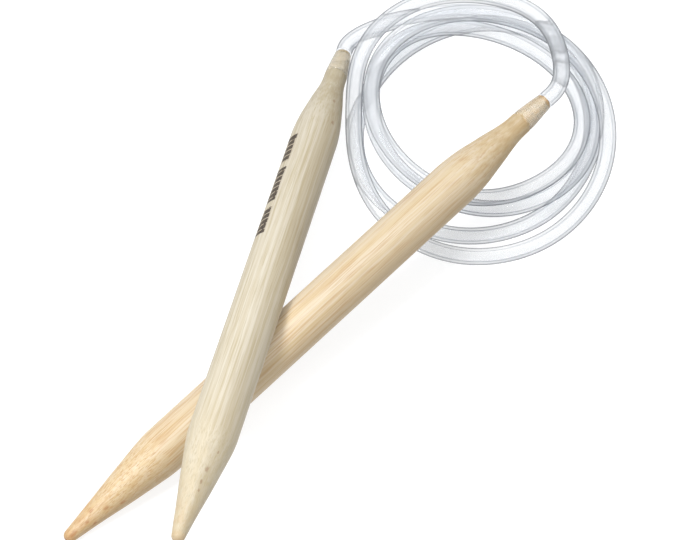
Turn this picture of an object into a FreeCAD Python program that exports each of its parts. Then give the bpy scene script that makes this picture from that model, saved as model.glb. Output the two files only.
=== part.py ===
import FreeCAD, Part
import math
import os

# Circular knitting needle, lying coiled on a table. Units are millimetres.
# Two turned bamboo tips are joined by one long clear tube. Each end of the tube is
# pushed and glued over a slim tapered spigot at the back of a tip.
# Frame: +Z up, the table is z = 0, and the origin is the middle of the coil on the table.
# Tips, glue and sleeves are turned about +X, with x = 0 at the end of the spigot.

Vector = FreeCAD.Vector

# ---- bamboo tip ----
NEEDLE_R = 10.0 / 2      # knitting size 10 mm
TIP_LENGTH = 136.0       # from the end of the spigot to the point
POINT_R = 1.35           # rounded end of the tip
POINT_TAPER = math.radians(8.7)  # half angle of the cone where it meets the rounded end

# ---- spigot, the slim part inside the tube ----
SPIGOT_LENGTH = 6.9      # length covered by the tube
SPIGOT_END_R = 2.24 / 2
SPIGOT_ROOT_R = 3.94 / 2
SPIGOT_CHAMFER = 0.1
BEND_X = 5.6             # the spigot's taper eases off here
BEND_R = SPIGOT_ROOT_R - 0.05

# ---- shoulder, where the wood steps out beyond the mouth of the tube ----
MOUTH_GAP = 0.05         # end of the tube to the shoulder
SHOULDER_X = SPIGOT_LENGTH + MOUTH_GAP
SHOULDER_R = 4.90 / 2
SHOULDER_CHAMFER_X = 0.25
SHOULDER_CHAMFER_R = 0.15

# ---- tube and glue ----
TUBE_OUTER_R = 3.60 / 2
TUBE_INNER_R = 2.30 / 2
GLUE_T = 0.05            # adhesive film between spigot and tube
GLUE_START = 0.6         # x where the film begins
GLUE_END = SPIGOT_LENGTH - 0.3

# where the flexible ends of the tube are divided, measured along the tube from each spigot end
LEFT_LEAD = 29.0
LEFT_LEAD_MID = 19.0
RIGHT_LEAD = 33.0

# the two tips: end of the spigot and end of the point, on the tip's axis
LEFT_REAR = Vector(-28.839, 14.220, 7.241)
LEFT_POINT = Vector(-60.798, -116.089, 29.474)
RIGHT_REAR = Vector(13.424, -9.722, 24.044)
RIGHT_POINT = Vector(-84.630, -101.158, 1.220)

# rear swell of the wood: x beyond the shoulder, radius added to the shoulder's
REAR_SWELL = [
    (SHOULDER_CHAMFER_X, 0), (3.3, 0.13), (6.2, 0.60), (8.9, 1.14),
    (11.6, 1.62), (14.2, 2.08), (16.6, 2.36), (20.2, NEEDLE_R - SHOULDER_R),
]

# taper to the point: distance back from the end of the tip, radius lost from the cylinder's
FRONT_TAPER = [
    (27.2, 0), (24.4, 0.17), (22.0, 0.48), (18.35, 1.02), (14.3, 1.62), (10.0, 2.32), (6.0, 2.95),
]

# x, y, z along the tube's centreline between the two spigot ends, from left to right:
# about four and a half turns, clockwise seen from above
CENTRELINE = [
    (-28.21, 16.59, 6.83), (-26.87, 18.65, 6.40), (-25.10, 20.37, 5.99),
    (-23.10, 21.82, 5.62), (-20.98, 23.10, 5.28), (-18.79, 24.27, 4.96), (-16.56, 25.34, 4.66),
    (-14.28, 26.32, 4.36), (-11.95, 27.20, 4.07), (-9.59, 27.97, 3.78), (-7.19, 28.60, 3.50),
    (-4.75, 29.07, 3.23), (0.71, 29.41, 2.69), (6.13, 28.64, 2.30), (11.26, 26.70, 2.06),
    (15.85, 23.70, 1.95), (19.72, 19.80, 1.90), (22.72, 15.20, 1.88), (24.78, 10.11, 1.88),
    (25.83, 4.72, 1.88), (25.85, -0.77, 1.88), (24.87, -6.18, 1.88), (23.04, -11.36, 1.88),
    (20.49, -16.23, 1.88), (17.19, -20.62, 1.88), (13.12, -24.30, 1.88), (8.37, -27.06, 1.88),
    (3.15, -28.77, 1.88), (-2.31, -29.29, 1.88), (-7.75, -28.56, 1.88), (-12.88, -26.60, 1.88),
    (-17.45, -23.56, 1.88), (-21.24, -19.59, 1.88), (-24.05, -14.88, 1.88), (-25.74, -9.65, 1.88),
    (-26.25, -4.18, 1.88), (-25.64, 1.27, 1.88), (-24.03, 6.53, 1.88), (-21.55, 11.43, 1.88),
    (-18.32, 15.88, 1.88), (-14.42, 19.74, 1.90), (-9.86, 22.81, 2.04), (-4.77, 24.82, 2.42),
    (0.64, 25.54, 2.96), (6.06, 24.89, 3.50), (11.16, 22.90, 3.93), (15.61, 19.72, 4.24),
    (19.23, 15.60, 4.51), (21.93, 10.82, 4.79), (23.69, 5.63, 5.11), (24.52, 0.21, 5.44),
    (24.41, -5.28, 5.66), (23.20, -10.64, 5.76), (20.74, -15.54, 5.79), (17.01, -19.55, 5.62),
    (12.28, -22.25, 5.04), (7.01, -23.41, 4.08), (1.61, -23.14, 3.11), (-3.65, -21.73, 2.44),
    (-8.63, -19.42, 2.17), (-13.17, -16.34, 2.30), (-17.10, -12.52, 2.75), (-20.17, -8.03, 3.43),
    (-22.18, -2.98, 4.23), (-22.96, 2.40, 5.01), (-22.46, 7.83, 5.59), (-20.65, 13.00, 5.90),
    (-17.45, 17.45, 6.01), (-13.02, 20.66, 5.94), (-7.80, 22.31, 5.74), (-2.31, 22.43, 5.56),
    (3.04, 21.24, 5.58), (8.03, 18.96, 5.84), (12.49, 15.78, 6.28), (16.29, 11.85, 6.83),
    (19.32, 7.31, 7.44), (21.36, 2.25, 8.06), (22.20, -3.14, 8.59), (21.63, -8.59, 8.93),
    (19.52, -13.64, 9.07), (16.00, -17.84, 8.95), (11.46, -20.89, 8.51), (6.31, -22.63, 7.77),
    (0.89, -22.94, 6.97), (-4.45, -21.83, 6.39), (-9.42, -19.51, 6.16), (-13.82, -16.23, 6.28),
    (-17.54, -12.22, 6.70), (-20.43, -7.59, 7.36), (-22.27, -2.48, 8.16), (-22.84, 2.92, 8.92),
    (-22.02, 8.32, 9.47), (-19.81, 13.33, 9.75), (-16.33, 17.57, 9.83), (-11.89, 20.79, 9.73),
    (-6.83, 22.90, 9.48), (-1.44, 23.89, 9.06), (4.02, 23.71, 8.56), (9.33, 22.36, 8.22),
    (14.21, 19.85, 8.16), (18.42, 16.34, 8.32), (21.87, 12.06, 8.54), (24.55, 7.26, 8.65),
    (26.46, 2.11, 8.55), (27.51, -3.26, 8.17), (27.60, -8.72, 7.56), (26.73, -14.10, 6.81),
    (24.89, -19.22, 6.04), (22.13, -23.91, 5.33), (18.52, -28.00, 4.69), (14.18, -31.32, 4.18),
    (9.26, -33.72, 3.82), (3.95, -35.15, 3.63), (-1.52, -35.54, 3.63), (-6.96, -34.84, 3.87),
    (-12.12, -33.03, 4.36), (-16.75, -30.17, 5.08), (-20.61, -26.36, 5.95), (-23.51, -21.79, 6.88),
    (-25.40, -16.72, 7.82), (-26.38, -11.39, 8.69), (-26.67, -5.94, 9.42), (-26.61, -0.48, 10.01),
    (-26.27, 4.99, 10.51), (-25.21, 10.35, 11.03), (-22.94, 15.30, 11.71), (-19.39, 19.36, 12.65),
    (-14.80, 22.11, 13.86), (-9.64, 23.36, 15.24), (-4.35, 23.21, 16.68), (0.80, 21.93, 18.10),
    (5.64, 19.72, 19.48), (7.60, 18.48, 20.06), (9.54, 16.97, 20.66), (11.31, 15.25, 21.24),
    (12.87, 13.32, 21.79), (14.16, 11.21, 22.30), (15.18, 8.95, 22.78), (15.95, 6.60, 23.22),
    (16.49, 4.17, 23.64), (16.83, 1.71, 24.01), (17.01, -0.78, 24.32), (16.93, -3.29, 24.56),
    (16.42, -5.76, 24.64), (15.23, -7.98, 24.46),
]


# ---- turned parts: outlines are (x, radius) points ----
def polyline(points):
    return [Part.makeLine(Vector(*start), Vector(*end)) for start, end in zip(points, points[1:])]


def smooth(points, start_dir, end_dir):
    curve = Part.BSplineCurve()
    curve.interpolate(
        Points=[Vector(*point) for point in points],
        InitialTangent=start_dir,
        FinalTangent=end_dir,
        Scale=False,
    )
    return curve.toShape()


def turned(outline):
    """Solid of revolution about +X from a closed list of edges in the XY plane, y >= 0."""
    wire = Part.Wire(Part.__sortEdges__(outline))
    return Part.Face(wire).revolve(Vector(0, 0, 0), Vector(1, 0, 0), 360)


def ring(inner, outer):
    """Turned ring between an inner and an outer outline, both from low x to high x."""
    ends = polyline([inner[0], outer[0]]) + polyline([inner[-1], outer[-1]])
    return turned(polyline(inner) + polyline(outer) + ends)


def make_tip():
    """Spigot, small shoulder, long rear swell, cylinder and tapered point."""
    spigot = [
        (0, 0),
        (0, SPIGOT_END_R - SPIGOT_CHAMFER),
        (SPIGOT_CHAMFER, SPIGOT_END_R),
        (BEND_X, BEND_R),
        (SHOULDER_X, SPIGOT_ROOT_R),
        (SHOULDER_X, SHOULDER_R - SHOULDER_CHAMFER_R),
        (SHOULDER_X + SHOULDER_CHAMFER_X, SHOULDER_R),
    ]
    rear = [(SHOULDER_X + x, SHOULDER_R + gain) for x, gain in REAR_SWELL]
    front = [(TIP_LENGTH - back, NEEDLE_R - loss) for back, loss in FRONT_TAPER]

    # the rounded end is part of a sphere, tangent to the end of the taper
    ball_x = TIP_LENGTH - POINT_R
    sine, cosine = math.sin(POINT_TAPER), math.cos(POINT_TAPER)
    front.append((ball_x + POINT_R * sine, POINT_R * cosine))
    ball = Part.Circle(Vector(ball_x, 0, 0), Vector(0, 0, 1), POINT_R)

    edges = polyline(spigot)
    edges.append(smooth(rear, Vector(1, 0, 0), Vector(1, 0, 0)))
    edges += polyline([rear[-1], front[0]])
    edges.append(smooth(front, Vector(1, 0, 0), Vector(cosine, -sine, 0)))
    edges.append(Part.ArcOfCircle(ball, 0.0, math.pi / 2 - POINT_TAPER).toShape())
    edges += polyline([(TIP_LENGTH, 0), (0, 0)])
    return turned(edges)


def radius_at(x, start, end):
    """Radius at x on the straight line between two outline points."""
    return start[1] + (end[1] - start[1]) * (x - start[0]) / (end[0] - start[0])


BEND = (BEND_X, BEND_R)
GLUE_START_R = radius_at(GLUE_START, (SPIGOT_CHAMFER, SPIGOT_END_R), BEND)
GLUE_END_R = radius_at(GLUE_END, BEND, (SHOULDER_X, SPIGOT_ROOT_R))


def make_glue():
    """Thin adhesive film round the spigot."""
    inner = [(GLUE_START, GLUE_START_R), BEND, (GLUE_END, GLUE_END_R)]
    return ring(inner, [(x, radius + GLUE_T) for x, radius in inner])


def make_sleeve():
    """End of the tube, stretched over the spigot and its glue."""
    inner = [
        (0, TUBE_INNER_R),
        (0.1, TUBE_INNER_R + 0.02),
        (GLUE_START, GLUE_START_R + GLUE_T),
        (BEND_X, BEND_R + GLUE_T),
        (SPIGOT_LENGTH, SPIGOT_ROOT_R + GLUE_T),
    ]
    outer = [
        (0, TUBE_OUTER_R),
        (GLUE_START, TUBE_OUTER_R + 0.04),
        (BEND_X, SPIGOT_ROOT_R + 0.43),
        (SPIGOT_LENGTH - 0.2, SPIGOT_ROOT_R + 0.46),
        (SPIGOT_LENGTH, SPIGOT_ROOT_R + 0.32),
    ]
    return ring(inner, outer)


def placed(shape, rear, point):
    """Turn a shape made along +X from the origin so that it runs from rear to point."""
    turn = FreeCAD.Rotation(Vector(1, 0, 0), (point - rear).normalize())
    out = shape.copy()
    out.Placement = FreeCAD.Placement(rear, turn)
    return out


# ---- flexible tube ----
def make_centreline():
    """Curve from spigot end to spigot end, in line with each tip where it meets it."""
    curve = Part.BSplineCurve()
    curve.interpolate(
        Points=[LEFT_REAR] + [Vector(*point) for point in CENTRELINE] + [RIGHT_REAR],
        InitialTangent=(LEFT_REAR - LEFT_POINT).normalize(),
        FinalTangent=(RIGHT_POINT - RIGHT_REAR).normalize(),
        Scale=False,
    )
    return curve


def swept_faces(curve, start, end, radius):
    """Side faces and flat end faces of a rod along the curve between two parameters."""
    path = Part.Wire([curve.toShape(start, end)])
    circle = Part.Circle(curve.value(start), curve.tangent(start)[0], radius)
    rod = path.makePipeShell([Part.Wire([circle.toShape()])], True, False)
    sides = [face for face in rod.Faces if not isinstance(face.Surface, Part.Plane)]
    ends = [face for face in rod.Faces if isinstance(face.Surface, Part.Plane)]
    return sides, ends


def tube_between(curve, first, last):
    """Hollow tube along the curve between two distances from the left spigot end."""
    start = curve.parameterAtDistance(first, curve.FirstParameter)
    end = curve.parameterAtDistance(last, curve.FirstParameter)
    wall_sides, wall_ends = swept_faces(curve, start, end, TUBE_OUTER_R)
    bore_sides, bore_ends = swept_faces(curve, start, end, TUBE_INNER_R)

    # close each end with a flat ring, pairing the outer disc with the nearest bore disc
    rings = []
    for disc in wall_ends:
        hole = min(bore_ends, key=lambda face: (face.CenterOfMass - disc.CenterOfMass).Length)
        rings.append(Part.Face([disc.OuterWire, hole.OuterWire]))
    tube = Part.Solid(Part.Shell(wall_sides + bore_sides + rings))
    tube.fix(1e-6, 1e-6, 1e-5)
    return tube


# ---- build and save ----
def save(name, shape):
    shape.exportStep("parts/" + name + ".step")


os.makedirs("parts", exist_ok=True)

tip, glue, sleeve = make_tip(), make_glue(), make_sleeve()
for side, rear, point in [("left", LEFT_REAR, LEFT_POINT), ("right", RIGHT_REAR, RIGHT_POINT)]:
    save(side + "_needle", placed(tip, rear, point))
    save(side + "_glue", placed(glue, rear, point))
    save("tube_" + side + "_sleeve", placed(sleeve, rear, point))

centreline = make_centreline()
total = centreline.length()
for name, first, last in [
    ("left_lead_end", 0.0, LEFT_LEAD_MID),
    ("left_lead_root", LEFT_LEAD_MID, LEFT_LEAD),
    ("coil", LEFT_LEAD, total - RIGHT_LEAD),
    ("right_lead", total - RIGHT_LEAD, total),
]:
    save("tube_" + name, tube_between(centreline, first, last))
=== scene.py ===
"""Two turned bamboo needle tips joined by a long clear tube that lies in loose loops.

The floor is z = 0 and the loops wind round the z axis near the origin. Both tips run from
the loops towards -y and cross in plan. "Left" and "right" name the tips by where their
rear ends lie, left being the lower x. Sizes are in mm and meshes are written in metres.
"""
import math
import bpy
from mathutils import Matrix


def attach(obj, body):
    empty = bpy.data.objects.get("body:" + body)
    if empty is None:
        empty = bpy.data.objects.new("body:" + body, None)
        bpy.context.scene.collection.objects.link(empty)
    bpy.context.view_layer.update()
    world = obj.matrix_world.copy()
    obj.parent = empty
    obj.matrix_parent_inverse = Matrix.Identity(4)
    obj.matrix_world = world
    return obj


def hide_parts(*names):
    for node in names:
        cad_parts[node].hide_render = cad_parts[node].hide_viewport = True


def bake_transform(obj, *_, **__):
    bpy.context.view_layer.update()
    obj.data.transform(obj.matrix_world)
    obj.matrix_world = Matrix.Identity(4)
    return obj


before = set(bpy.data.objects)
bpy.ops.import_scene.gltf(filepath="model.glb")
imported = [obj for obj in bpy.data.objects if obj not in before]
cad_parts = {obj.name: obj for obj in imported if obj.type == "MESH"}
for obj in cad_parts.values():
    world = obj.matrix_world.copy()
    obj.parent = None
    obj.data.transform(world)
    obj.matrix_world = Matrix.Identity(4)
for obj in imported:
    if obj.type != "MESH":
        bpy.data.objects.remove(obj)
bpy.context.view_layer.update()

from types import SimpleNamespace

import bpy
import numpy as np
from mathutils import Vector

# ------------------------------------------------------------------ dimensions (mm)
MM = 0.001                  # metres in a millimetre

NEEDLE_R = 5.0
TIP_LENGTH = 136.0
SPIGOT_LENGTH = 6.9         # the thin rear end that the tube is stretched over
SPIGOT_END_R = 1.12
SPIGOT_ROOT_R = 1.97
SHOULDER_R = 2.45           # the wood just in front of the spigot
MOUTH_GAP = 0.05            # between the tube's mouth and the shoulder
POINT_R = 1.35
POINT_TAPER = 8.7           # degrees
TUBE_R = 1.80
BORE_R = 1.15

TUBE_SEGMENTS = 56
NEEDLE_SEGMENTS = 120
COIL_STEP = 0.55            # ring spacing along the tube
BEND_STEP = 0.4

CAMERA = np.array((-29.6, -407.54, 593.63))

# Rear cone: distance in front of the shoulder face, radius beyond the shoulder's.
REAR_CONE = (
    (0.25, 0.0), (3.3, 0.13), (6.2, 0.60), (8.9, 1.14), (11.6, 1.62), (14.2, 2.08), (16.6, 2.36),
)
REAR_CONE_LENGTH = 20.2
# Front cone: distance back from the point, depth below the full radius.
FRONT_CONE = (
    (27.2, 0.0), (24.4, 0.17), (22.0, 0.48), (18.35, 1.02), (14.3, 1.62), (10.0, 2.32), (6.0, 2.95),
)

# The tube's centre line (x, y, z) between the two rear ends, from left tip to right tip.
CENTRELINE = [
    (-28.21, 16.59, 6.83), (-26.87, 18.65, 6.40), (-25.10, 20.37, 5.99),
    (-23.10, 21.82, 5.62), (-20.98, 23.10, 5.28), (-18.79, 24.27, 4.96), (-16.56, 25.34, 4.66),
    (-14.28, 26.32, 4.36), (-11.95, 27.20, 4.07), (-9.59, 27.97, 3.78), (-7.19, 28.60, 3.50),
    (-4.75, 29.07, 3.23), (0.71, 29.41, 2.69), (6.13, 28.64, 2.30), (11.26, 26.70, 2.06),
    (15.85, 23.70, 1.95), (19.72, 19.80, 1.90), (22.72, 15.20, 1.88), (24.78, 10.11, 1.88),
    (25.83, 4.72, 1.88), (25.85, -0.77, 1.88), (24.87, -6.18, 1.88), (23.04, -11.36, 1.88),
    (20.49, -16.23, 1.88), (17.19, -20.62, 1.88), (13.12, -24.30, 1.88), (8.37, -27.06, 1.88),
    (3.15, -28.77, 1.88), (-2.31, -29.29, 1.88), (-7.75, -28.56, 1.88), (-12.88, -26.60, 1.88),
    (-17.45, -23.56, 1.88), (-21.24, -19.59, 1.88), (-24.05, -14.88, 1.88), (-25.74, -9.65, 1.88),
    (-26.25, -4.18, 1.88), (-25.64, 1.27, 1.88), (-24.03, 6.53, 1.88), (-21.55, 11.43, 1.88),
    (-18.32, 15.88, 1.88), (-14.42, 19.74, 1.90), (-9.86, 22.81, 2.04), (-4.77, 24.82, 2.42),
    (0.64, 25.54, 2.96), (6.06, 24.89, 3.50), (11.16, 22.90, 3.93), (15.61, 19.72, 4.24),
    (19.23, 15.60, 4.51), (21.93, 10.82, 4.79), (23.69, 5.63, 5.11), (24.52, 0.21, 5.44),
    (24.41, -5.28, 5.66), (23.20, -10.64, 5.76), (20.74, -15.54, 5.79), (17.01, -19.55, 5.62),
    (12.28, -22.25, 5.04), (7.01, -23.41, 4.08), (1.61, -23.14, 3.11), (-3.65, -21.73, 2.44),
    (-8.63, -19.42, 2.17), (-13.17, -16.34, 2.30), (-17.10, -12.52, 2.75), (-20.17, -8.03, 3.43),
    (-22.18, -2.98, 4.23), (-22.96, 2.40, 5.01), (-22.46, 7.83, 5.59), (-20.65, 13.00, 5.90),
    (-17.45, 17.45, 6.01), (-13.02, 20.66, 5.94), (-7.80, 22.31, 5.74), (-2.31, 22.43, 5.56),
    (3.04, 21.24, 5.58), (8.03, 18.96, 5.84), (12.49, 15.78, 6.28), (16.29, 11.85, 6.83),
    (19.32, 7.31, 7.44), (21.36, 2.25, 8.06), (22.20, -3.14, 8.59), (21.63, -8.59, 8.93),
    (19.52, -13.64, 9.07), (16.00, -17.84, 8.95), (11.46, -20.89, 8.51), (6.31, -22.63, 7.77),
    (0.89, -22.94, 6.97), (-4.45, -21.83, 6.39), (-9.42, -19.51, 6.16), (-13.82, -16.23, 6.28),
    (-17.54, -12.22, 6.70), (-20.43, -7.59, 7.36), (-22.27, -2.48, 8.16), (-22.84, 2.92, 8.92),
    (-22.02, 8.32, 9.47), (-19.81, 13.33, 9.75), (-16.33, 17.57, 9.83), (-11.89, 20.79, 9.73),
    (-6.83, 22.90, 9.48), (-1.44, 23.89, 9.06), (4.02, 23.71, 8.56), (9.33, 22.36, 8.22),
    (14.21, 19.85, 8.16), (18.42, 16.34, 8.32), (21.87, 12.06, 8.54), (24.55, 7.26, 8.65),
    (26.46, 2.11, 8.55), (27.51, -3.26, 8.17), (27.60, -8.72, 7.56), (26.73, -14.10, 6.81),
    (24.89, -19.22, 6.04), (22.13, -23.91, 5.33), (18.52, -28.00, 4.69), (14.18, -31.32, 4.18),
    (9.26, -33.72, 3.82), (3.95, -35.15, 3.63), (-1.52, -35.54, 3.63), (-6.96, -34.84, 3.87),
    (-12.12, -33.03, 4.36), (-16.75, -30.17, 5.08), (-20.61, -26.36, 5.95), (-23.51, -21.79, 6.88),
    (-25.40, -16.72, 7.82), (-26.38, -11.39, 8.69), (-26.67, -5.94, 9.42), (-26.61, -0.48, 10.01),
    (-26.27, 4.99, 10.51), (-25.21, 10.35, 11.03), (-22.94, 15.30, 11.71), (-19.39, 19.36, 12.65),
    (-14.80, 22.11, 13.86), (-9.64, 23.36, 15.24), (-4.35, 23.21, 16.68), (0.80, 21.93, 18.10),
    (5.64, 19.72, 19.48), (7.60, 18.48, 20.06), (9.54, 16.97, 20.66), (11.31, 15.25, 21.24),
    (12.87, 13.32, 21.79), (14.16, 11.21, 22.30), (15.18, 8.95, 22.78), (15.95, 6.60, 23.22),
    (16.49, 4.17, 23.64), (16.83, 1.71, 24.01), (17.01, -0.78, 24.32), (16.93, -3.29, 24.56),
    (16.42, -5.76, 24.64), (15.23, -7.98, 24.46),
]


# ------------------------------------------------------------------ small maths
def unit(vector):
    return vector / np.linalg.norm(vector)


def unit_rows(vectors):
    return vectors / np.linalg.norm(vectors, axis=1)[:, None]


class Spline:
    """Cubic spline through points, by chord length, with given end directions."""

    def __init__(self, points, start_dir, end_dir):
        points = np.asarray(points, float)
        chord = np.linalg.norm(np.diff(points, axis=0), axis=1)
        slope = np.diff(points, axis=0) / chord[:, None]
        count = len(points)
        system = np.zeros((count, count))
        target = np.zeros(points.shape)
        system[0, :2] = 2 * chord[0], chord[0]
        system[-1, -2:] = chord[-1], 2 * chord[-1]
        target[0] = 6 * (slope[0] - start_dir)
        target[-1] = 6 * (end_dir - slope[-1])
        for i in range(1, count - 1):
            system[i, i - 1:i + 2] = chord[i - 1], 2 * (chord[i - 1] + chord[i]), chord[i]
            target[i] = 6 * (slope[i] - slope[i - 1])
        self.points = points
        self.chord = chord
        self.bend = np.linalg.solve(system, target)
        self.knots = np.concatenate([[0], np.cumsum(chord)])

    def at(self, t):
        t = np.clip(np.atleast_1d(t), 0, self.knots[-1])
        i = np.clip(np.searchsorted(self.knots, t, side="right") - 1, 0, len(self.chord) - 1)
        chord = self.chord[i][:, None]
        left = (self.knots[i + 1] - t)[:, None]
        done = (t - self.knots[i])[:, None]
        points, bend = self.points, self.bend
        return (bend[i] * left**3 / (6 * chord) + bend[i + 1] * done**3 / (6 * chord)
                + (points[i] / chord - bend[i] * chord / 6) * left
                + (points[i + 1] / chord - bend[i + 1] * chord / 6) * done)

    def sample(self, count):
        """Evenly spaced points, without the last."""
        return [tuple(v) for v in self.at(np.linspace(0, self.knots[-1], count))[:-1]]


class Tip:
    """Where a needle tip lies: its rear end, and unit axes along, across and up."""

    def __init__(self, rear, point):
        self.rear = np.array(rear)
        point = np.array(point)
        self.along = unit(point - self.rear)
        self.across = unit(np.cross((0, 0, 1), self.along))
        self.up = np.cross(self.along, self.across)
        # angle, from across towards up, of the side that faces the camera
        view = CAMERA - (self.rear + point) / 2
        self.facing = math.atan2(view @ self.up, view @ self.across)


LEFT = Tip(rear=(-28.839, 14.220, 7.241), point=(-60.798, -116.089, 29.474))
RIGHT = Tip(rear=(13.424, -9.722, 24.044), point=(-84.630, -101.158, 1.220))

# ------------------------------------------------------------------ the centre line by arc length
curve = Spline([LEFT.rear, *CENTRELINE, RIGHT.rear], -LEFT.along, RIGHT.along)
curve_t = np.linspace(0, curve.knots[-1], 60001)
curve_steps = np.linalg.norm(np.diff(curve.at(curve_t), axis=0), axis=1)
curve_arc = np.concatenate([[0], np.cumsum(curve_steps)])
TUBE_LENGTH = float(curve_arc[-1])


def centre(arc):
    return curve.at(np.interp(arc, curve_arc, curve_t))


# tangents and normals carried along the tube without twist, on a fixed fine grid
grid_arc = np.linspace(0, TUBE_LENGTH, 4001)
grid_tangent = np.gradient(centre(grid_arc), grid_arc, axis=0)
grid_tangent[0], grid_tangent[-1] = -LEFT.along, RIGHT.along
grid_tangent = unit_rows(grid_tangent)
grid_normal = np.zeros_like(grid_tangent)
grid_normal[0] = unit(np.cross((0, 0, 1), grid_tangent[0]))
for i in range(1, len(grid_arc)):
    carried = grid_normal[i - 1]
    grid_normal[i] = unit(carried - grid_tangent[i] * (carried @ grid_tangent[i]))


def frame_at(arc):
    """Tangents, normals and binormals at arc lengths, one row each."""
    arc = np.atleast_1d(arc)
    tangent, normal = (np.stack([np.interp(arc, grid_arc, grid[:, axis]) for axis in range(3)], 1)
                       for grid in (grid_tangent, grid_normal))
    tangent = unit_rows(tangent)
    normal = unit_rows(normal - tangent * (normal * tangent).sum(1)[:, None])
    return tangent, normal, np.cross(tangent, normal)


# ------------------------------------------------------------------ mesh building
def skin(rings, flip=False):
    """Faces joining each ring to the next: one row of vertex numbers per ring."""
    here, following = rings[:-1], rings[1:]
    corners = [here, np.roll(here, -1, 1), np.roll(following, -1, 1), following]
    quads = np.stack(corners, -1).reshape(-1, 4)
    return quads[:, ::-1] if flip else quads


def ring_numbers(rings, segments=TUBE_SEGMENTS, first=0):
    return np.arange(rings * segments).reshape(rings, segments) + first


def make(name, verts, faces, material, attrs=None):
    """Smooth mesh object from vertices in mm. attrs maps a name to one vector per vertex."""
    mesh = bpy.data.meshes.new(name)
    mesh.from_pydata((verts * MM).tolist(), [], [list(map(int, face)) for face in faces])
    mesh.polygons.foreach_set("use_smooth", np.ones(len(mesh.polygons), bool))
    for key, vectors in (attrs or {}).items():
        attribute = mesh.attributes.new(key, "FLOAT_VECTOR", "POINT")
        attribute.data.foreach_set("vector", np.asarray(vectors, np.float32).ravel())
    mesh.update()
    obj = bpy.data.objects.new(name, mesh)
    bpy.context.scene.collection.objects.link(obj)
    mesh.materials.append(material)
    return obj


TUBE_ANGLES = np.arange(TUBE_SEGMENTS) * 2 * math.pi / TUBE_SEGMENTS


def spokes(normal, binormal):
    """Unit vectors round each frame: (rings, segments, 3)."""
    return (np.cos(TUBE_ANGLES)[None, :, None] * normal[:, None, :]
            + np.sin(TUBE_ANGLES)[None, :, None] * binormal[:, None, :])


def ring_points(centres, normal, binormal, radii):
    return centres[:, None, :] + radii[:, None, None] * spokes(normal, binormal)


def tube_coords(arc):
    """Per vertex: distance along, then cosine and sine of the angle round the tube."""
    around = (np.tile(wave(TUBE_ANGLES), len(arc)) for wave in (np.cos, np.sin))
    return np.stack([np.repeat(arc, TUBE_SEGMENTS), *around], 1)


# ------------------------------------------------------------------ tube and tip pieces
def tube_piece(name, start, end, material, step):
    """Outer and bore walls between two arc lengths, open where they meet their neighbours."""
    count = max(3, int(math.ceil((end - start) / step)) + 1)
    arc = np.linspace(start, end, count)
    _, normal, binormal = frame_at(arc)
    outer, bore = (ring_points(centre(arc), normal, binormal, np.full(count, radius))
                   for radius in (TUBE_R, BORE_R))
    verts = np.concatenate([outer.reshape(-1, 3), bore.reshape(-1, 3)])
    numbers = ring_numbers(count)
    faces = np.concatenate([skin(numbers), skin(numbers + count * TUBE_SEGMENTS, flip=True)])
    coords = tube_coords(arc)
    bore_coords = coords * (1, BORE_R / TUBE_R, BORE_R / TUBE_R)
    return make(name, verts, faces, material, {"along": np.concatenate([coords, bore_coords])})


def needle_profile():
    """(distance along the tip, radius) of the turned bamboo, spigot end first."""
    shoulder = SPIGOT_LENGTH + MOUTH_GAP
    end_r, root_r, shoulder_r = SPIGOT_END_R, SPIGOT_ROOT_R, SHOULDER_R
    rear = [(shoulder + x, shoulder_r + rise) for x, rise in REAR_CONE]
    rear.append((shoulder + REAR_CONE_LENGTH, NEEDLE_R))
    ball = TIP_LENGTH - POINT_R                     # centre of the rounded point
    taper = math.radians(POINT_TAPER)
    front = [(TIP_LENGTH - x, NEEDLE_R - drop) for x, drop in FRONT_CONE]
    front.append((ball + POINT_R * math.sin(taper), POINT_R * math.cos(taper)))

    def run(start, end, step):
        """Straight run of points, without its end."""
        count = max(1, int(math.ceil(math.dist(start, end) / step)))
        return [tuple(a + (b - a) * i / count for a, b in zip(start, end)) for i in range(count)]

    ball_angles = np.linspace(math.pi / 2 - taper, 0.06, 14)
    return np.array([
        # spigot: flat end with a broken edge, then a cone in two slopes
        *run((0.0, 0.15), (0.0, end_r - 0.12), step=0.25),
        (0.0, end_r - 0.10), (0.03, end_r - 0.04), (0.1, end_r),
        *run((0.12, end_r), (5.6, root_r - 0.05), step=0.5),
        *run((5.6, root_r - 0.05), (shoulder - 0.03, root_r), step=0.45),
        # shoulder face and its rounded edge
        (shoulder - 0.01, root_r), (shoulder, root_r + 0.02), (shoulder, shoulder_r - 0.17),
        (shoulder + 0.01, shoulder_r - 0.15), (shoulder + 0.10, shoulder_r - 0.07),
        (shoulder + 0.22, shoulder_r - 0.01),
        # rear cone, cylinder, front cone, rounded point
        *Spline(rear, (1, 0), (1, 0)).sample(54),
        *run(rear[-1], front[0], step=0.9),
        *Spline(front, (1, 0), (math.cos(taper), -math.sin(taper))).sample(64),
        *((ball + POINT_R * math.cos(q), POINT_R * math.sin(q)) for q in ball_angles),
    ])


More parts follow.
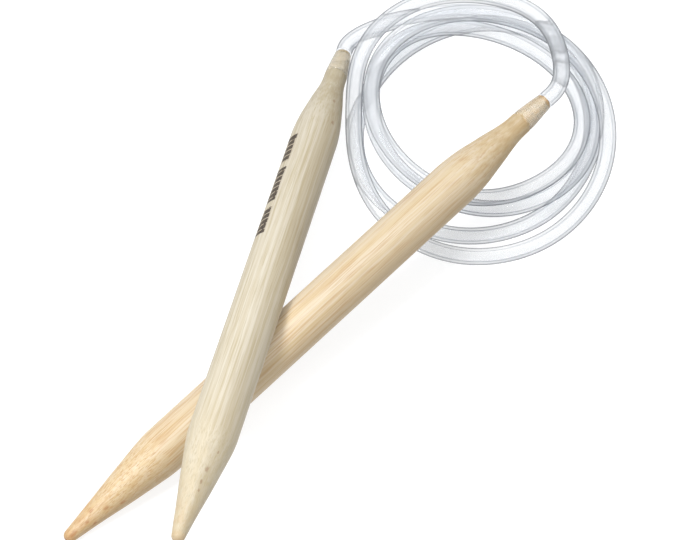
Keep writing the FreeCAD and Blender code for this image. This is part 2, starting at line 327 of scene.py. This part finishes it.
def needle(name, tip, material, seed):
    """One bamboo tip, slightly uneven: more on its cones than elsewhere."""
    rng = np.random.default_rng(seed)
    segments = NEEDLE_SEGMENTS
    angles = np.arange(segments) * 2 * math.pi / segments
    x, radius = needle_profile().T
    uneven = np.zeros((len(x), segments))
    for _ in range(9):
        lobes = rng.integers(2, 6)
        per_mm, turn_phase, length_phase = (rng.uniform(*span)
                                            for span in ((0.10, 0.55), (0, 6.28), (0, 6.28)))
        uneven += (rng.uniform(0.3, 1.0) * np.cos(lobes * angles[None, :] + turn_phase)
                   * np.cos(per_mm * x[:, None] + length_phase))
    # where each amount of unevenness applies, 0 to 1 along the tip
    rear_cone = np.clip((27.5 - x) / 14, 0, 1) * (x > 7.6)
    front_cone = np.clip((x - 110) / 12, 0, 1) * np.clip((134.2 - x) / 3, 0, 1)
    cones = rear_cone + front_cone
    body = np.clip((x - 8) / 3, 0, 1) * np.clip((133 - x) / 3, 0, 1)
    radii = radius[:, None] + uneven * (cones[:, None] * 0.014 + body[:, None] * 0.003)

    xs = np.broadcast_to(x[:, None], radii.shape)
    verts = np.stack([xs, radii * np.cos(angles), radii * np.sin(angles)], -1).reshape(-1, 3)
    rings = ring_numbers(len(x), segments)
    faces = skin(rings).tolist()
    rear_hub = len(verts)
    point_hub = rear_hub + 1
    verts = np.concatenate([verts, [[0, 0, 0], [TIP_LENGTH, 0, 0]]])
    following = np.roll(rings, -1, 1)
    faces += [(rear_hub, b, a) for a, b in zip(rings[0], following[0])]
    faces += [(point_hub, a, b) for a, b in zip(rings[-1], following[-1])]
    placed = (tip.rear + verts[:, 0:1] * tip.along + verts[:, 1:2] * tip.across
              + verts[:, 2:3] * tip.up)
    return make(name, placed, faces, material, {"grain": verts})


def sleeve(name, tip, arc_end, material):
    """The tube's end stretched over the spigot, starting on the ring where the tube stops."""
    tangent, normal, binormal = frame_at(arc_end)
    root, mouth = SPIGOT_ROOT_R, SPIGOT_LENGTH
    # (distance along the tip, radius); the bore ends where it meets the wood
    bore = np.array([(0, BORE_R), (0.12, BORE_R), (0.24, BORE_R - 0.003), (0.34, BORE_R - 0.02),
                     (0.42, BORE_R - 0.06)])
    flare_x, flare_r = (0.6, 5.6), (TUBE_R + 0.04, root + 0.43)
    outer = np.array([
        (0, TUBE_R), *((x, np.interp(x, flare_x, flare_r)) for x in (0.6, 1.8, 3.1, 4.4, 5.6)),
        (6.3, root + 0.452), (mouth - 0.22, root + 0.45), (mouth - 0.10, root + 0.41),
        (mouth - 0.02, root + 0.33), (mouth, root + 0.24), (mouth, root + 0.08),
        (mouth - 0.01, root - 0.06),
    ])
    verts = np.concatenate([
        ring_points(tip.rear + wall[:, 0:1] * tip.along, normal, binormal, wall[:, 1])
        .reshape(-1, 3) for wall in (outer, bore)])
    # the rings turn the other way where the tube runs against the tip
    reverse = tangent[0] @ tip.along < 0
    outer_rings = ring_numbers(len(outer))
    bore_rings = ring_numbers(len(bore), first=outer_rings.size)
    faces = np.concatenate([skin(outer_rings, reverse), skin(bore_rings, not reverse)])
    coords = tube_coords(np.concatenate([outer[:, 0], bore[:, 0]]))
    return make(name, verts, faces, material, {"along": coords})


def glue(name, tip, arc_end, material):
    """Thin film of adhesive round the spigot, with uneven ends."""
    tangent, normal, binormal = frame_at(arc_end)
    end, root = SPIGOT_END_R, SPIGOT_ROOT_R
    x = np.linspace(0.75, SPIGOT_LENGTH - 0.32, 26)
    wood = np.interp(x, (0.6, 5.6, SPIGOT_LENGTH),
                     (end + (root - 0.05 - end) * 0.5 / 5.5, root - 0.05, root - 0.012))
    rng = np.random.default_rng(5)
    wobble = sum(rng.uniform(0.02, 0.10) * np.cos(lobes * TUBE_ANGLES + rng.uniform(0, 6.28))
                 for lobes in (1, 2, 3, 5, 7))
    # full wobble at both ends, in opposite directions, and none in the middle
    xs = x[:, None] + wobble[None, :] * (np.linspace(1, -1, len(x))[:, None] ** 3)
    centres = tip.rear + xs[:, :, None] * tip.along
    verts = np.concatenate([
        (centres + (wood + lift)[:, None, None] * spokes(normal, binormal)).reshape(-1, 3)
        for lift in (0.036, 0.012)])
    outer = ring_numbers(len(x))
    inner = ring_numbers(len(x), first=outer.size)
    reverse = tangent[0] @ tip.along < 0
    faces = np.concatenate([
        skin(outer, reverse), skin(inner, not reverse),
        skin(np.stack([outer[-1], inner[-1]]), reverse),
        skin(np.stack([outer[0], inner[0]]), not reverse),
    ])
    return make(name, verts, faces, material)


# ------------------------------------------------------------------ shader graphs
def operator(kind, swapped=False):
    """A Python operator that adds a math node of this kind."""
    if swapped:
        return lambda self, other: self.graph.math(kind, other, self)
    return lambda self, *other: self.graph.math(kind, self, *other)


class Signal:
    """A node's output, which can be used in sums like a number."""

    def __init__(self, graph, socket):
        self.graph = graph
        self.socket = socket

    __add__ = operator("ADD")
    __radd__ = operator("ADD", swapped=True)
    __sub__ = operator("SUBTRACT")
    __rsub__ = operator("SUBTRACT", swapped=True)
    __mul__ = operator("MULTIPLY")
    __truediv__ = operator("DIVIDE")
    __pow__ = operator("POWER")
    __gt__ = operator("GREATER_THAN")
    __lt__ = operator("LESS_THAN")
    __abs__ = operator("ABSOLUTE")

    def ramp(self, start, end, to=(0.0, 1.0), smooth=True):
        """Maps start..end to the two values of `to`, held beyond the ends."""
        return self.graph.add("ShaderNodeMapRange", dict(enumerate((self, start, end, *to))),
                              interpolation_type="SMOOTHSTEP" if smooth else "LINEAR", clamp=True)


class Graph:
    """Builds nodes in one emptied node tree."""

    def __init__(self, tree):
        self.tree = tree
        tree.nodes.clear()

    def add(self, kind, inputs=None, output=0, **settings):
        """Adds a node, sets or links its inputs, and returns one of its outputs."""
        node = self.tree.nodes.new(kind)
        for key, value in settings.items():
            setattr(node, key, value)
        for key, value in (inputs or {}).items():
            if isinstance(value, Signal):
                self.tree.links.new(value.socket, node.inputs[key])
            else:
                node.inputs[key].default_value = value
        return Signal(self, node.outputs[output])

    def finish(self, shader, kind="ShaderNodeOutputMaterial"):
        self.tree.links.new(shader.socket, self.tree.nodes.new(kind).inputs[0])

    def math(self, kind, *values):
        return self.add("ShaderNodeMath", dict(enumerate(values)), operation=kind)

    def hypot(self, a, b):
        return self.math("SQRT", a ** 2.0 + b ** 2.0)

    def angle_from(self, turn, start):
        """Signed angle from start, within half a turn."""
        return self.math("ARCTAN2", self.math("SINE", turn - start),
                         self.math("COSINE", turn - start))

    def mix(self, amount, base, over, blend="MIX"):
        return self.add("ShaderNodeMix", {0: amount, 6: base, 7: over}, output=2,
                        data_type="RGBA", blend_type=blend, clamp_factor=True)

    def layers(self, base, layers):
        """Lays (amount, colour) pairs over a base colour in turn."""
        for amount, colour in layers:
            base = self.mix(amount, base, colour)
        return base

    def split(self, vector):
        node = self.add("ShaderNodeSeparateXYZ", {0: vector}).socket.node
        return [Signal(self, socket) for socket in node.outputs]

    def attribute(self, name):
        return self.split(self.add("ShaderNodeAttribute", output="Vector", attribute_name=name))

    def vec(self, *parts):
        return self.add("ShaderNodeCombineXYZ", dict(enumerate(parts)))

    def noise(self, vector, scale, detail=2.0, rough=0.5):
        return self.add("ShaderNodeTexNoise", {"Vector": vector, "Scale": scale,
                                               "Detail": detail, "Roughness": rough})

    def cells(self, vector, scale):
        return self.add("ShaderNodeTexVoronoi", {"Vector": vector, "Scale": scale}, "Distance")

    def bump(self, height, strength, distance):
        return self.add("ShaderNodeBump", {"Strength": strength, "Distance": distance,
                                           "Height": height})

    def facing(self):
        return self.add("ShaderNodeLayerWeight", {"Blend": 0.5}, "Facing")

    def principled(self, inputs):
        return self.add("ShaderNodeBsdfPrincipled", inputs)

    def transparent(self, colour):
        return self.add("ShaderNodeBsdfTransparent", {0: colour})

    def mix_shader(self, amount, base, over):
        return self.add("ShaderNodeMixShader", {0: amount, 1: base, 2: over})

    def pass_light(self, shader, colour):
        """Lets light through to what lies behind, instead of a full shadow."""
        shadow_ray = self.add("ShaderNodeLightPath", output="Is Shadow Ray")
        return self.mix_shader(shadow_ray, shader, self.transparent(colour))


def new_material(name):
    material = bpy.data.materials.new(name)
    material.use_nodes = True
    return material, Graph(material.node_tree)


def display(*rgb):
    """8-bit display colour to the linear colour that nodes take."""
    return tuple((c / 255 / 12.92) if c / 255 <= 0.04045 else ((c / 255 + 0.055) / 1.055) ** 2.4
                 for c in rgb) + (1.0,)


# ------------------------------------------------------------------ bamboo
# grey is both the painted shade on the side turned from the light and the colour of faint soiling
PALE_WOOD = SimpleNamespace(
    light=display(238, 231, 213), mid=display(228, 218, 194), deep=display(208, 194, 156),
    streak=display(190, 172, 128), grey=display(172, 156, 122), cone=display(204, 191, 160),
    point=display(226, 200, 160), front=display(244, 230, 198), heart=display(204, 182, 146),
    speck=display(150, 104, 62))
WARM_WOOD = SimpleNamespace(
    light=display(246, 231, 204), mid=display(240, 219, 180), deep=display(226, 196, 146),
    streak=display(206, 158, 106), grey=display(188, 158, 108), cone=display(216, 190, 144),
    point=display(222, 176, 122), front=display(244, 216, 166), heart=display(158, 84, 50),
    speck=display(184, 116, 62))

# Dark specks: distance along the tip, angle from the side facing the camera, radius.
PALE_SPECKS = ((120.0, -0.30, 0.40), (123.0, -0.24, 0.28), (124.9, -0.30, 0.22),
               (115.6, -0.50, 0.20), (24.0, -0.55, 0.35), (17.5, -0.35, 0.30))
WARM_SPECKS = ((128.5, 0.35, 0.30), (125.9, -0.30, 0.34), (130.6, -0.15, 0.30),
               (122.6, -0.75, 0.40), (129.4, -0.8, 0.30), (134.2, -0.15, 0.55))

# Burnt ticks: where each group starts and ends along the tip, and the stroke spacing.
TICK_GROUPS = ((29.3, 37.3), (39.2, 49.0), (50.9, 58.4))
TICK_PITCH = 1.55
TICK_INK = display(46, 26, 12)
TICK_HALO = display(140, 96, 52)


def speck_masks(graph, x, y, z, turn, facing, specks):
    ragged = graph.noise(graph.vec(x, y * 2.0, z * 2.0), scale=1.6, rough=0.6)
    for speck_x, offset, radius in specks:
        from_axis = graph.math("SQRT", y * y + z * z)
        around = graph.angle_from(turn, facing + offset) * from_axis
        # halving the distance along x makes each speck twice as long as wide
        far = graph.hypot((x - speck_x) * 0.50, around) + (ragged - 0.5) * (radius * 1.3)
        yield far.ramp(radius * 1.25, radius * 0.45) * 0.5


def tick_masks(graph, x, y, z, turn, fine, tick_turn):
    """Ink and scorched halo of the tick groups, in a row along one side."""
    around = graph.angle_from(turn, tick_turn) * NEEDLE_R
    edge = graph.noise(graph.vec(x, y, z), scale=2.6)
    # ragged edges
    x = x + (edge - 0.5) * 0.35
    around = around + (edge - 0.5) * 0.35
    first, *others = [(x > start) * (x < end) for start, end in TICK_GROUPS]
    groups = sum(others, first)
    stroke_number = graph.math("FLOOR", x / TICK_PITCH)
    phase = graph.math("FRACT", x / TICK_PITCH)
    chance = graph.add("ShaderNodeTexWhiteNoise", {"W": stroke_number}, "Value",
                       noise_dimensions="1D")
    half_length = 1.0 + chance * 0.8
    shift = (chance - 0.5) * 0.5
    stroke = abs(phase - 0.45).ramp(0.45, 0.37)
    tall = (abs(around - shift) - half_length).ramp(0.12, -0.06)
    # some strokes are joined by a thin line to one side of the row's middle
    rail = abs(around + 0.9).ramp(0.40, 0.24) * (chance > 0.45)
    worn = (fine * 0.6 + edge * 0.5).ramp(0.36, 0.62, to=(1.0, 0.84))
    ink = graph.math("MAXIMUM", stroke * tall, rail) * groups * worn
    halo = abs(around).ramp(2.1, 1.1) * groups * 0.22
    return ink, halo


def bamboo(name, wood, seed, facing, shade_side_offset, specks, line_gain, tick_offset=None):
    """Turned bamboo with a solid pattern. Fibre bundles run along the piece, so they show as
    fine lines on the cylinder and as flecks where the cones cut across them. line_gain
    strengthens the lines near the point; offsets are angles from the facing side."""
    material, graph = new_material(name)
    x, y, z = graph.attribute("grain")

    # fibres wander a little along the length
    wander_y = graph.noise(graph.vec(x * 0.022, seed, seed * 1.7), scale=1.0)
    wander_z = graph.noise(graph.vec(x * 0.022, seed + 9.0, seed * 0.7), scale=1.0)
    fibre_y = y + (wander_y - 0.5) * 0.7
    fibre_z = z + (wander_z - 0.5) * 0.7

    def fibres(squeeze, start=seed):
        """Pattern space stretched along the fibres: a small squeeze gives long marks."""
        return graph.vec(x * squeeze + start, fibre_y, fibre_z)

    long_grain, short_grain = fibres(0.006), fibres(0.022)
    wide = graph.noise(long_grain, scale=0.34, rough=0.55)
    band = graph.noise(long_grain, scale=1.45)
    fine = graph.noise(short_grain, scale=2.9, rough=0.55)
    hair = graph.noise(short_grain, scale=5.6, rough=0.55)
    bundles = graph.cells(fibres(0.035), scale=1.35)
    flecks = graph.cells(fibres(0.16, seed + 3.0), scale=1.9)
    mottle = graph.noise(graph.vec(x * 0.5, y, z), scale=0.9, detail=3.0, rough=0.6)

    rear = x.ramp(12.0, 27.5, to=(1.0, 0.0))
    cone = graph.math("MAXIMUM", rear, x.ramp(108.0, 124.0))
    # painted shade: the side turned away from the light is greyer
    turn = graph.math("ARCTAN2", z, y)
    away = graph.math("COSINE", turn - (facing + shade_side_offset))
    painted_shade_side = (away + (band - 0.5) * 0.5).ramp(0.30, 1.05) * 0.5
    # end grain on the spigot's end and the very point, with a darker off-centre heart
    end_dots = graph.cells(graph.vec(seed, y, z), scale=3.2)
    sawn = graph.math("MAXIMUM", x.ramp(0.9, 0.3), x.ramp(134.1, 134.8))
    from_heart = graph.hypot(y - 0.25, z + 0.15)
    heart_ends = graph.math("MAXIMUM", x.ramp(0.7, 0.2), x.ramp(133.6, 134.8))
    wear = graph.noise(graph.vec(x * 0.06, y * 0.25, z * 0.25), scale=1.0, detail=3.0, rough=0.6)

    col = graph.layers(wood.light, [
        # broad bands, then fine and hair lines that change strength near the front
        (band.ramp(0.36, 0.66), wood.mid),
        (wide.ramp(0.44, 0.70) * 0.75, wood.deep),
        (fine.ramp(0.53, 0.66) * x.ramp(90.0, 118.0, to=(0.42, 0.42 * line_gain)), wood.streak),
        (fine.ramp(0.46, 0.34) * 0.40, wood.light),
        (hair.ramp(0.53, 0.66) * x.ramp(90.0, 118.0, to=(0.34, 0.42 * line_gain)), wood.streak),
        # fibre bundles, and flecks on the cones only
        (bundles.ramp(0.16, 0.05) * cone.ramp(0.0, 1.0, to=(0.30, 0.50)), wood.streak),
        (flecks.ramp(0.26, 0.10) * cone.ramp(0.25, 0.9)
         * mottle.ramp(0.40, 0.62, to=(0.15, 0.75)), wood.point),
        # tints of the front, the rear cone and the point
        (x.ramp(92.0, 124.0, to=(0.0, 0.62)) * fine.ramp(0.38, 0.60, to=(0.55, 1.0)), wood.front),
        (rear * mottle.ramp(0.32, 0.68, to=(0.30, 0.85)), wood.cone),
        (x.ramp(118.0, 134.0) * mottle.ramp(0.38, 0.66, to=(0.10, 0.62)), wood.point),
        # painted shade on the side turned away from the light
        (painted_shade_side, wood.grey),
        (sawn * end_dots.ramp(0.10, 0.45, to=(0.95, 0.45)), wood.point),
        (hair.ramp(0.50, 0.62) * x.ramp(96.0, 118.0, to=(0.0, 0.30)) * line_gain, wood.streak),
        (from_heart.ramp(0.95, 0.35) * heart_ends * 0.75, wood.heart),
        *((mask, wood.speck) for mask in speck_masks(graph, x, y, z, turn, facing, specks)),
        # faint soiling
        (wear.ramp(0.55, 0.80) * 0.16, wood.grey),
    ])
    rough = (fine + (mottle - 0.5) * 0.5).ramp(0.3, 0.75, to=(0.42, 0.60))
    height = fine * 0.55 + (hair * 0.25 + bundles.ramp(0.16, 0.04) * -0.35)
    height = height + mottle * (cone * 0.5)

    if tick_offset is not None:
        ink, halo = tick_masks(graph, x, y, z, turn, fine, facing + tick_offset)
        col = graph.layers(col, [(halo, TICK_HALO), (ink, TICK_INK)])
        height = height - ink * 0.8
        rough = rough + ink * 0.2

    # darker towards the rear, then an even darkening
    dim = x.ramp(8.0, 80.0, to=(0.80, 0.955), smooth=False)
    col = graph.mix(1.0, col, graph.vec(dim, dim, dim * 1.01), blend="MULTIPLY")
    col = graph.mix(1.0, col, (0.76, 0.75, 0.735, 1.0), blend="MULTIPLY")
    graph.finish(graph.principled({
        "Base Color": col, "Roughness": rough, "Specular IOR Level": 0.35,
        "Normal": graph.bump(height, strength=0.35, distance=0.00012),
        "Coat Weight": 0.05, "Coat Roughness": 0.35}))
    return material


# ------------------------------------------------------------------ clear materials
def sleeve_plastic(name):
    """Clear tube over the spigots: pale, darker where the wall is seen edge-on, with faint
    lines along it and a little haze."""
    material, graph = new_material(name)
    along, across, up = graph.attribute("along")
    drawn = graph.noise(graph.vec(along * 0.012, across, up), scale=2.6)
    haze = graph.noise(graph.vec(along * 0.10, across * 1.2, up * 1.2),
                       scale=1.3, detail=3.0, rough=0.6)
    # painted refraction: the dark line where the wall is seen edge-on, partly the longer path
    # through the wall
    edge = (graph.facing() + (drawn - 0.5) * 0.10).ramp(0.58, 0.96)
    line = (0.50, 0.51, 0.52, 1)
    col = graph.layers((0.965, 0.968, 0.968, 1), [
        (haze.ramp(0.35, 0.7), (0.945, 0.95, 0.95, 1)),
        (drawn.ramp(0.52, 0.68) * 0.10, line),
        (edge, line),
        # darker where the sleeve joins the tube
        (along.ramp(1.3, 0.1, to=(0.0, 0.55)), (0.55, 0.57, 0.59, 1.0)),
    ])
    plastic = graph.principled({
        "Base Color": col, "Roughness": haze.ramp(0.35, 0.75, to=(0.03, 0.075)),
        "Normal": graph.bump(drawn * 0.6 + haze * 0.3, strength=0.015, distance=0.00005),
        "IOR": 1.42, "Transmission Weight": 1.0})
    graph.finish(graph.pass_light(plastic, (0.94, 0.95, 0.96, 1.0)))
    return material


def tube_plastic(name):
    """The long run of tube: soft, low-index and slightly milky, with a thin dark line down
    each side, a fainter pair for the bore, and a gentle gloss."""
    material, graph = new_material(name)
    along, across, up = graph.attribute("along")
    # bore vertices carry a shorter (across, up) than outer ones
    bore = across * across + up * up < 0.7
    drawn = graph.noise(graph.vec(along * 0.010, across, up), scale=2.2)
    haze = graph.noise(graph.vec(along * 0.09, across * 1.1, up * 1.1), scale=1.2)
    slow = graph.noise(graph.vec(along * 0.022, across * 0.55, up * 0.55), scale=1.3, detail=1.0)
    facing = graph.facing() + (slow - 0.5) * 0.42
    # painted refraction: edge darkens the rims of the outer wall, the milky layer and the bore,
    # standing in for the dark lines a refracting tube shows; a little of it is the longer path
    # through the wall
    edge = facing.ramp(0.36, 0.78)
    shade = facing.ramp(0.02, 0.45)

    col = graph.layers((0.905, 0.911, 0.918, 1.0), [
        (haze.ramp(0.35, 0.7), (0.876, 0.884, 0.894, 1.0)),
        (drawn.ramp(0.52, 0.66) * 0.35, (0.84, 0.86, 0.885, 1.0)),
        (shade * 0.30, (0.76, 0.782, 0.80, 1.0)),
        (edge, (0.09, 0.10, 0.12, 1.0)),
    ])
    outer = graph.principled({
        "Base Color": col, "Roughness": 0.0, "IOR": 1.02, "Transmission Weight": 1.0,
        "Coat Weight": 0.30, "Coat Roughness": haze.ramp(0.35, 0.75, to=(0.10, 0.20)),
        "Coat IOR": 1.35,
        "Coat Normal": graph.bump(drawn * 0.6 + haze * 0.3, strength=0.05, distance=0.00005)})
    # the side facing the eye scatters some light of its own
    milk = graph.add("ShaderNodeBsdfDiffuse", {0: graph.layers((0.665, 0.676, 0.688, 1.0), [
        (haze.ramp(0.35, 0.7), (0.615, 0.627, 0.643, 1.0)),
        (edge, (0.37, 0.385, 0.405, 1.0)),
    ])})
    back = graph.add("ShaderNodeNewGeometry", output="Backfacing")
    outer = graph.mix_shader((1.0 - back) * (0.30 + shade * 0.10), outer, milk)
    inner = graph.transparent(graph.layers((0.982, 0.984, 0.987, 1.0), [
        (haze.ramp(0.35, 0.7), (0.966, 0.970, 0.976, 1.0)),
        (edge, (0.46, 0.49, 0.53, 1.0)),
    ]))
    walls = graph.mix_shader(bore, outer, inner)
    graph.finish(graph.pass_light(walls, (0.95, 0.96, 0.97, 1.0)))
    return material


def adhesive(name):
    """Thin film of clear glue with paler patches and tiny bubbles."""
    material, graph = new_material(name)
    place = graph.add("ShaderNodeTexCoord", output="Object")
    bubbles = graph.cells(place, scale=2600.0)
    patch = graph.noise(place, scale=520.0, detail=3.0)
    height = patch * 0.6 + bubbles.ramp(0.05, 0.3)
    film = graph.principled({
        "Base Color": graph.mix(patch.ramp(0.40, 0.65), display(238, 234, 224),
                                display(222, 212, 192)),
        "Roughness": bubbles.ramp(0.10, 0.35, to=(0.35, 0.16)),
        "Normal": graph.bump(height, strength=0.3, distance=0.00005)})
    cover = patch.ramp(0.42, 0.70, to=(0.10, 0.34)) + bubbles.ramp(0.16, 0.06, to=(0.0, 0.25))
    graph.finish(graph.mix_shader(cover, graph.transparent((0.97, 0.96, 0.94, 1.0)), film))
    return material


# ------------------------------------------------------------------ build the object
pale = bamboo("bamboo_pale", PALE_WOOD, seed=3.1, facing=LEFT.facing, shade_side_offset=-0.95,
              specks=PALE_SPECKS, line_gain=0.75, tick_offset=1.13)
warm = bamboo("bamboo_warm", WARM_WOOD, seed=7.7, facing=RIGHT.facing, shade_side_offset=-1.2,
              specks=WARM_SPECKS, line_gain=1.5)
plastic = tube_plastic("clear_tube")
plastic_end = sleeve_plastic("clear_tube_end")
film = adhesive("adhesive_film")

# Arc lengths where the tube is cut into the coil and the bends that lead to the tips.
LEFT_END_CUT, LEFT_MID_CUT, LEFT_COIL_CUT = 9.5, 19.0, 29.0
RIGHT_COIL_CUT, RIGHT_END_CUT = TUBE_LENGTH - 33.0, TUBE_LENGTH - 16.0
# Bends: name, first and last arc length, the two bodies at its ends, and two arc lengths
# given for a blend's start and end; bake_transform takes the last four but does not use them.
BENDS = (
    ("tube_left_bend_root", LEFT_MID_CUT, LEFT_COIL_CUT, "coil", "left_lead_outer", 28.2, 19.8),
    ("tube_left_bend_mid", LEFT_END_CUT, LEFT_MID_CUT, "left_lead_outer", "left_lead_inner",
     18.4, 10.1),
    ("tube_left_bend_end", 0.0, LEFT_END_CUT, "left_lead_inner", "left_tip", 8.9, 0.8),
    ("tube_right_bend_root", RIGHT_COIL_CUT, RIGHT_END_CUT, "coil", "right_lead",
     TUBE_LENGTH - 31.8, TUBE_LENGTH - 17.0),
    ("tube_right_bend_end", RIGHT_END_CUT, TUBE_LENGTH, "right_lead", "right_tip",
     TUBE_LENGTH - 15.0, TUBE_LENGTH - 1.0),
)

left_needle = needle("bamboo_tip_left", LEFT, pale, seed=21)
right_needle = needle("bamboo_tip_right", RIGHT, warm, seed=22)
coil = tube_piece("tube_coil_loops", LEFT_COIL_CUT, RIGHT_COIL_CUT, plastic, COIL_STEP)
bends = {name: tube_piece(name, start, end, plastic, BEND_STEP) for name, start, end, *_ in BENDS}
left_sleeve = sleeve("tube_sleeve_left", LEFT, 0.0, plastic_end)
right_sleeve = sleeve("tube_sleeve_right", RIGHT, TUBE_LENGTH, plastic_end)
left_glue = glue("glue_film_left", LEFT, 0.0, film)
right_glue = glue("glue_film_right", RIGHT, TUBE_LENGTH, film)

for piece in (left_needle, left_sleeve, left_glue):
    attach(piece, "left_tip")
for piece in (right_needle, right_sleeve, right_glue):
    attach(piece, "right_tip")
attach(coil, "coil")
for name, _, _, body, other_body, blend_start, blend_end in BENDS:
    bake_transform(bends[name], body, other_body, start=tuple(centre(blend_start)[0] * MM),
             end=tuple(centre(blend_end)[0] * MM))

for piece, original in (
    (left_needle, "left_needle"), (right_needle, "right_needle"),
    (left_glue, "left_glue"), (right_glue, "right_glue"),
    (left_sleeve, "tube_left_sleeve"), (right_sleeve, "tube_right_sleeve"),
    (coil, "tube_coil"),
    (bends["tube_left_bend_root"], "tube_left_lead_root"),
    (bends["tube_left_bend_mid"], "tube_left_lead_end"),
    (bends["tube_right_bend_root"], "tube_right_lead"),
):
    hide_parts(original)

# ------------------------------------------------------------------ floor, light, camera (metres)
scene = bpy.context.scene
scene.view_settings.view_transform = "Standard"


def build_floor(half_width):
    """Pale floor that glows a little, with a very soft mottle."""
    material, graph = new_material("pale_floor")
    soft = graph.noise(graph.add("ShaderNodeTexCoord", output="Object"), scale=2.2, detail=3.0)
    col = graph.mix(soft.ramp(0.3, 0.7), (0.245, 0.246, 0.248, 1), (0.255, 0.255, 0.255, 1))
    graph.finish(graph.principled({
        "Base Color": col, "Roughness": 0.85, "Specular IOR Level": 0.05,
        "Emission Color": (0.995, 0.998, 1.0, 1.0), "Emission Strength": 0.825}))
    mesh = bpy.data.meshes.new("floor")
    corners = [(x * half_width, y * half_width, 0) for x, y in ((-1, -1), (1, -1), (1, 1), (-1, 1))]
    mesh.from_pydata(corners, [], [(0, 1, 2, 3)])
    floor = bpy.data.objects.new("floor", mesh)
    scene.collection.objects.link(floor)
    mesh.materials.append(material)


def build_world():
    """Dark sky with a bright band near the horizon and a bright patch overhead."""
    world = bpy.data.worlds.new("studio")
    scene.world = world
    world.use_nodes = True
    graph = Graph(world.node_tree)
    z = graph.split(graph.add("ShaderNodeTexCoord", output="Generated"))[2]
    bright = graph.math("MAXIMUM", z.ramp(0.16, 0.34, to=(1.0, 0.0)), z.ramp(0.72, 0.93))
    col = graph.mix(bright, (0.10, 0.11, 0.13, 1), (0.84, 0.845, 0.86, 1))
    graph.finish(graph.add("ShaderNodeBackground", {0: col, 1: 0.95}), "ShaderNodeOutputWorld")


def softbox(name, location, size, power, colour, target=(-0.02, -0.04, 0.0)):
    """Square area light aimed at the target."""
    light = bpy.data.lights.new(name, "AREA")
    light.shape = "RECTANGLE"
    light.size = light.size_y = size
    light.energy = power
    light.color = colour
    obj = bpy.data.objects.new(name, light)
    obj.location = location
    obj.rotation_mode = "QUATERNION"
    obj.rotation_quaternion = (Vector(target) - Vector(location)).to_track_quat("-Z", "Y")
    scene.collection.objects.link(obj)


def build_camera():
    """Looks down and towards +y."""
    data = bpy.data.cameras.new("camera")
    data.sensor_fit = "HORIZONTAL"
    data.sensor_width = 36.0
    data.lens = 175.614353
    data.clip_start = 0.02
    data.clip_end = 20.0
    camera = bpy.data.objects.new("camera", data)
    camera.location = tuple(CAMERA * MM)
    camera.rotation_euler = (math.radians(32.0), 0.0, 0.0)
    scene.collection.objects.link(camera)
    scene.camera = camera


build_floor(half_width=6)
build_world()
softbox("key", (-0.46, -0.20, 1.15), size=0.34, power=11.0, colour=(1.0, 0.985, 0.96))
softbox("top", (0.34, 0.24, 1.42), size=1.7, power=16.0, colour=(0.98, 0.99, 1.0))
build_camera()
